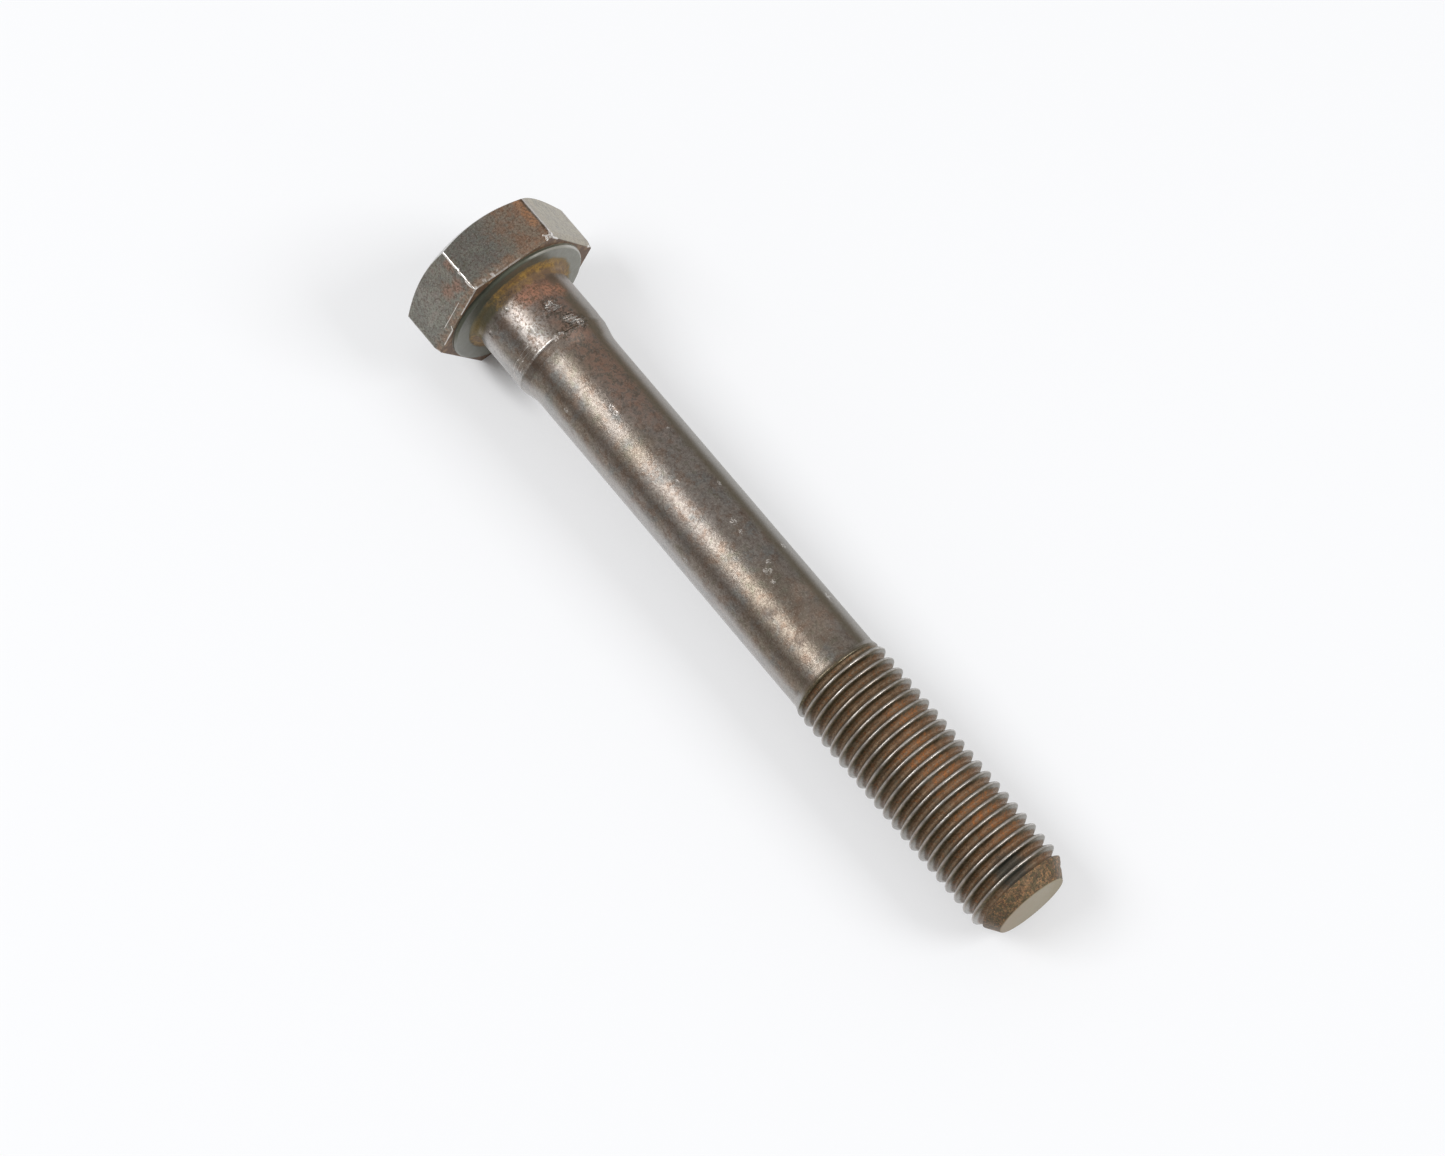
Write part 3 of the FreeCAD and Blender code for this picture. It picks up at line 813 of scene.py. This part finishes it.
    darkGrain = step(grain, 0.43, 0.62) * (0.6 - rightFlat * 0.15)
    headSteel = blend(darkGrain, headSteel, f["patinaDark"])
    headSteel = blend(step(speck, 0.55, 0.66) * 0.3, headSteel, f["speckle"])
    streak = between(side, 4.2, 5.3, 0.45) * step(rise, 8.6, 9.2) * step(along, -1.6, -3.2)
    streak = step(streak + uneven * 0.9, 0.3, 1.0) * step(side, 2.5, 3.5) * step(rise, 8.6, 9.2)
    headSteel = blend(streak * 0.7, headSteel,
                      blend(step(grain, 0.42, 0.6), f["orangeRust"], f["brownRust"]))
    steel = blend(onHead, steel, headSteel)
    steel = blend(underside, steel, blend(step(mottle, 0.36, 0.52), f["tipBrown"], f["brownRust"]))

    # bearing face with its rust ring, which runs on over the fillet, and painted shade on its upper
    # part
    # painted shade: the upper part of the bearing face is darkened, and it also darkens towards the
    # left
    shaded = step(around, 0.7, 1.4) * step(around, 3.0, 2.4)
    face = blend(step(mottle, 0.4, 0.65) * 0.4, f["faceGrey"], f["headGrey"])
    face = blend(graph.clip(shaded * 0.75 + step(side, 2.0, -7.0) * 0.35), face, f["faceShade"])
    ringEdge = f["ringRadius"] - step(around, 1.7, 2.6) * 0.55 - step(around, -0.3, -1.5) * 0.5
    ringPlace = radius - ringEdge + uneven * 0.75
    ring = between(ringPlace, -0.75, -0.1, 0.3)
    inner = step(ringPlace, -0.35, -0.8)
    turned = step(around + uneven * 0.7, 1.75, 2.35)
    ringColour = blend(turned, f["ochre"], f["orangeRust"])
    ringColour = blend(step(fine, 0.47, 0.56) * 0.6, ringColour, f["oliveTan"])
    # the rust inside the ring and on the fillet turns dark olive on its upper left side: rust,
    # darkened there as painted shade from the head
    turnedColour = blend(step(around, 2.5, 3.0), f["olive"], f["oliveTan"])
    innerColour = blend(step(mottle, 0.36, 0.6) * 0.8, f["ochre"], f["brownRust"])
    innerColour = blend(turned, innerColour, turnedColour)
    innerColour = blend(step(fine, 0.48, 0.58) * 0.5, innerColour, f["flankDark"])
    face = blend(inner * 0.9, face, innerColour)
    face = blend(ring * 0.8, face, ringColour)
    steel = blend(onFace, steel, face)
    fillet = step(along, -0.1, 0.05) * step(along + uneven * 0.7, 1.6, 0.9) * step(radius, 7.1, 6.9)
    steel = blend(fillet * 0.9, steel, innerColour)

    # rust blooms and thread
    bloom = marksAt(blooms, 0.1, 0.75)
    neckBloom = bloom * step(along, 7.0, 5.5) * onNeck
    brownNeck = onNeck * step(along + uneven * 3, 5.0, 2.0) * step(around + uneven * 0.6, 2.0, 1.6)
    steel = blend(brownNeck * 0.4, steel, f["patinaRed"])
    rustColour = blend(step(grain, 0.42, 0.6), f["salmonRust"], f["brownRust"])
    blooming = bloom * (1 - onThread) * (0.08 + onHead * 0.4 + neckBloom * 0.67)
    steel = blend(graph.clip(blooming), steel, rustColour)
    rustZone = between(around, 0.5, 2.0, 0.4) * step(along + uneven * 8, 60, 68)
    rooted = step(depth + uneven * 0.3, 0.3, 0.62)
    flank = blend(step(coarse, 0.42, 0.58) * 0.7, f["flankBrown"], f["olive"])
    flank = blend(rooted * (0.45 + rustZone * 0.35), flank, f["rootBrown"])
    flank = blend(rooted * step(coarse, 0.44, 0.58) * 0.6, flank, f["flankDark"])
    flank = blend(step(fine, 0.5, 0.58) * 0.5, flank, f["flankDark"])
    flank = blend(step(fine, 0.48, 0.4) * 0.4, flank, f["rootTan"])
    flank = blend(rooted * step(grain + coarse - 1.0, 0.02, 0.16) * 0.6, flank, f["orangeRust"])
    rusted = bloom * step(depth, 0.15, 0.5) * step(coarse + (grain - 0.5), 0.44, 0.6)
    flank = blend(rusted * 0.7, flank, f["threadRust"])
    flank = blend(step(patch, 0.54, 0.68) * 0.4, flank, f["patinaGreen"])
    slate = step(distance(spotAt(*threadSlatePlace)) + uneven, 2.8, 1.2)
    flank = blend(slate * 0.75, flank, f["threadSlate"])
    inGroove = onThread * step(depth, 0.03, 0.16)
    steel = blend(inGroove, steel, flank)
    tipRust = blend(step(mottle, 0.4, 0.6), f["tipBrown"], f["brownRust"])
    tipRust = blend(step(coarse, 0.44, 0.56) * 0.75, tipRust, f["olive"])
    tipRust = blend(step(side + mottle * 6, 1.0, -3.0) * 0.5, tipRust, f["flankDark"])
    dotted = speck * 0.4 + grain * 0.6
    tipRust = blend(step(dotted, 0.51, 0.58) * 0.75, tipRust, f["flankDark"])
    tipRust = blend(step(dotted, 0.47, 0.4) * 0.8, tipRust, f["tipOrange"])
    steel = blend(onChamfer, steel, tipRust)
    endColour = blend(step(side + uneven * 5, 1.0, -5.0) * 0.45, f["endTan"], f["tipBrown"])
    steel = blend(onEnd, steel, blend(step(grain, 0.42, 0.66) * 0.3, endColour, f["rootBrown"]))

    # bare steel: scuffed collar, thread crests, corners, skirt and nicks, with painted highlights
    # on the collar's band and lip, the crests and the washer rim, and painted shade behind the lip
    # scuffs on the collar, painted pale along the band where the light is reflected and along its
    # left edge: wear and painted highlight
    scuffAndHighlight = between(around, 1.93, 2.2, 0.1) * step(along, 1.8, 3.2)
    scuffAndHighlight = scuffAndHighlight + between(around, 2.85, 3.4, 0.15) * 0.8
    scuffAndHighlight = scuffAndHighlight * onNeck * step(uneven, 0.2, -0.1)
    pits = onNeck * step(fine, 0.5, 0.56) * between(around, 1.6, 2.3, 0.2)
    steel = blend(pits * 0.65, steel, f["patinaDark"])
    steel = blend(scuffAndHighlight * 0.35, steel, f["scuffAndHighlightGrey"])
    # painted shade: a dark band just behind the collar's lip
    lipShade = between(along, 8.34, 9.3, 0.06) * between(around, 1.8, 3.3, 0.15)
    steel = blend(lipShade * 0.45, steel, f["patinaDark"])
    # thread crests worn bare, and painted as highlight lines that are brighter on the right and
    # middle than on the left
    crestWearAndHighlight = onThread * step(depth, 0.06, 0.01) * (0.5 + 0.5 * step(mottle, 0.4, 0.6))
    crestWearAndHighlight = crestWearAndHighlight * (1 - onChamfer) * 0.46
    crestWearAndHighlight = crestWearAndHighlight * (0.4 + step(around, 3.0, 2.2) * 0.6)
    tall = s["headHeight"]
    stops = [(1 + place / tall, (0.5 + off,) * 3 + (1.0,)) for place, off in cornerLine]
    wander = graph.add("ShaderNodeValToRGB", {"stops": stops}, [along / tall + 1])
    across = side * -slant - rise * 0.5
    line = maths("ABSOLUTE", across - (wander - 0.5))
    line = step(line, 0.15, 0.08) * step(cornerGap, 0.7, 0.5) * onHex
    corner = onHex * step(cornerGap + (grain - 0.5) * 0.4, 0.13, 0.04)
    corner = corner * step(mottle, 0.42, 0.56) * 0.35
    foot = onHex * between(along + (grain - 0.5) * 0.2, -0.66, -0.48, 0.06)
    foot = foot * step(mottle + step(across, 3.4, 0.6) * step(rise, 8.6, 9.0) * 0.2, 0.6, 0.7) * 0.4
    foot = foot * step(side, 2.5, 1.0)
    ticks = onHex * step(along + (mottle - 0.5) * 0.9, -1.15, -0.7)
    ticks = ticks * between(side, -5.3, -1.6, 0.3) * step(rise, 8.6, 9.0)
    ticks = ticks * step(stretched((0.3, 1.0, 1.0), 2.6, 1.0), 0.5, 0.6) * 0.8
    cut = strokesAt([(onSkin(a, b), onSkin(c, d), half) for a, b, c, d, half in strokes])
    scratches = step(stretched((1.0, 0.05, 0.05), 9.0), 0.56, 0.66)
    scratches = scratches * between(along, 6.6, s["neckLength"], 0.3) * onNeck
    scratches = scratches * step(around, 1.8, 2.1) * step(mottle, 0.35, 0.5) * 0.5
    # the collar's worn lip, painted pale mostly where it catches the light: wear and painted
    # highlight
    lipWearAndHighlight = between(along + (grain - 0.5) * 0.15, 8.08, 8.3, 0.05) * between(around, 1.75, 3.3, 0.15)
    lipWearAndHighlight = lipWearAndHighlight * (0.1 + step(around + uneven * 0.5, 2.45, 2.2) * 0.65)
    lipWearAndHighlight = lipWearAndHighlight * (0.3 + step(fine, 0.54, 0.47) * 0.7)
    mashed = marksAt(mashes, 0.1, 0.5)
    steel = blend(mashed * step(grain, 0.4, 0.52) * 0.55, steel, f["flankDark"])
    torn = mashed * step(noise(spot, 3.2, 3.0, 0.7, 11.0, 0.6), 0.53, 0.6) * 0.15
    nick = marksAt([(reach, angle, neck if reach < f["shankFrom"] else f["shankSkin"], size)
                    for reach, angle, size in nicks], 0.2, 0.6)
    nick = nick * step(speck + (grain - 0.5) * 0.8, 0.44, 0.62) * 0.6
    # painted highlight: a pale line on the washer rim's chamfer, on the right side only
    rim = between(along, -0.24, -0.02, 0.04) * step(radius, 8.6, 8.75) * step(side, 1.0, 3.0) * 0.3
    gouge = strokesAt([(onSkin(a, b), onSkin(c, d), half) for a, b, c, d, half in gouges])
    steel = blend(gouge * 0.7, steel, f["flankDark"])
    cut = cut * (0.85 - onNeck * step(around, 1.7, 1.5) * 0.35)
    bright = chain("MAXIMUM",
                   [line, crestWearAndHighlight, corner, foot, ticks, cut, scratches, lipWearAndHighlight, torn, nick, rim])
    steel = blend(bright, steel, f["bareAndHighlight"])
    darkCorner = onHex * step(cornerGap + (mottle - 0.5) * 0.5, 0.3, 0.1) * step(side, 1.0, 3.0)
    darkCorner = darkCorner * (1 - bright)
    steel = blend(darkCorner * 0.6, steel, f["flankDark"])

    # the shader's other inputs
    dull = graph.clip(onThread * step(depth, 0.3, 0.6) * (0.55 + rooted * 0.3) + onFace * 0.5
                      + rightFlat * onHex * 0.6 + bloom * (0.4 + neckBloom * 0.4)
                      + ring * onFace * 0.8 + inner * onFace * 0.6 + underside + onChamfer * 0.6
                      + streak * 0.8 + fillet + rightShade * 0.45)
    dull = dull * (1 - bright)
    facing = graph.add("ShaderNodeLayerWeight", {}, {"Blend": 0.5}, "Facing")
    rough = f["roughness"] + (patch - 0.5) * 0.2 + (grain - 0.5) * 0.16
    rough = rough + dull * 0.3 - bright * 0.12 + onEnd * 0.1 + onFace * 0.1
    rough = rough + onThread * (1 - inGroove) * 0.04
    rough = rough + fillet * 0.15
    metal = f["metal"] - dull * 0.55 - fillet * 0.3
    film = step(facing - graph.clip(rightShade + onThread) * 0.07, 0.36, 0.6) * (1 - dull * 0.8)
    height = (grain * 0.7 + speck * 0.3) * (1 - onThread * 0.75) + mottle * 0.36
    height = height - nick * 0.8 - torn * 0.5 - cut * 0.5 - gouge + scratches * 0.5
    bump = graph.add("ShaderNodeBump", {}, {"Strength": f["bumpStrength"],
                                            "Distance": f["bumpDepth"] * millimetre,
                                            "Height": height})
    for name, wire in (("Base Color", steel), ("Roughness", rough), ("Metallic", metal),
                       ("Coat Weight", film), ("Normal", bump)):
        material.node_tree.links.new(wire.socket, shader.inputs[name])
    shader.inputs["Coat IOR"].default_value = f["filmIOR"]
    shader.inputs["Coat Roughness"].default_value = f["filmRoughness"]
    return material


def makeBolt(s, f, marks, end):
    steel = boltSteel(s, f)
    blank = bpy.data.objects.new("boltBlank", blankMesh(s))
    bpy.context.scene.collection.objects.link(blank)
    tree, names = forgeTree(steel)
    modifier = blank.modifiers.new("forgeAndRoll", "NODES")
    modifier.node_group = tree
    for item in tree.interface.items_tree:
        if item.in_out == "INPUT" and item.name in names:
            modifier[item.identifier] = s[item.name]
    depsgraph = bpy.context.evaluated_depsgraph_get()
    mesh = bpy.data.meshes.new_from_object(blank.evaluated_get(depsgraph),
                                           preserve_all_data_layers=True, depsgraph=depsgraph)
    bpy.data.objects.remove(blank)
    mark(mesh, marks, end)
    mesh.transform(layDown(s))
    piece = bpy.data.objects.new("boltSteel", mesh)
    bpy.context.scene.collection.objects.link(piece)
    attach(piece, "root")
    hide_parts("trailing_arm_bolt")
    print("bolt: %d faces" % len(mesh.polygons))


makeBolt(bolt, finish, dents, collarEnd)

bpy.context.scene.view_settings.view_transform = "Standard"
